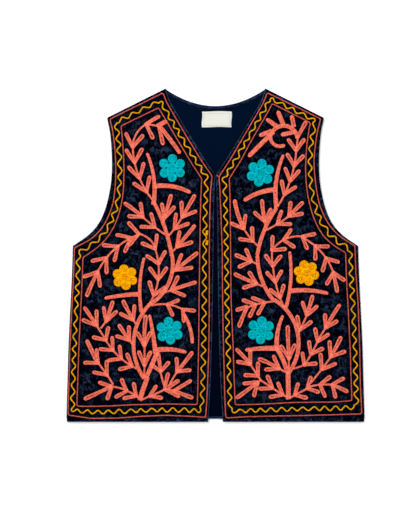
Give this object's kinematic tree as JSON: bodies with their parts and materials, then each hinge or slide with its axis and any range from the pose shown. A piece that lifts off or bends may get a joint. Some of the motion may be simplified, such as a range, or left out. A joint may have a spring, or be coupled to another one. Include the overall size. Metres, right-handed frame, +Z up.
{
  "type": "embroidered folk vest laid flat",
  "caption": "Open-front sleeveless velvet vest with chain-stitched sprigs and flowers, laid flat on its back.",
  "frame": {"origin": "middle of the vest's length and width, on the surface that its back lies on", "axes": "+Y from the hem to the shoulders, +X across the vest towards the picture's right, +Z up from the surface, through the back and then the fronts"},
  "size_m": [0.547, 0.6119, 0.0093],
  "materials": {
    "navy_velvet": "crushed navy velvet, nearly black, with a soft mottled nap",
    "navy_cotton": "plain matt navy cotton lining",
    "velvet_turning": "navy velvet turned in over an edge",
    "label_cloth": "off-white woven cloth, bare",
    "coral_wool": "coral yarn in close chain stitch",
    "turquoise_wool": "turquoise yarn in spiralling chain stitch",
    "yellow_wool": "golden yellow yarn in chain stitch"
  },
  "bodies": {
    "root": {"back_panel": "navy_velvet", "back_lining": "navy_cotton", "back_neck_facing": "velvet_turning", "back_hem_turning": "velvet_turning", "label": "label_cloth", "front_left": "navy_velvet", "front_right": "navy_velvet", "sprigs_left": "coral_wool", "sprigs_right": "coral_wool", "flower_left_upper": "turquoise_wool", "flower_left_middle": "yellow_wool", "flower_left_lower": "turquoise_wool", "flower_right_upper": "turquoise_wool", "flower_right_middle": "yellow_wool", "flower_right_lower": "turquoise_wool"}
  },
  "joints": []
}
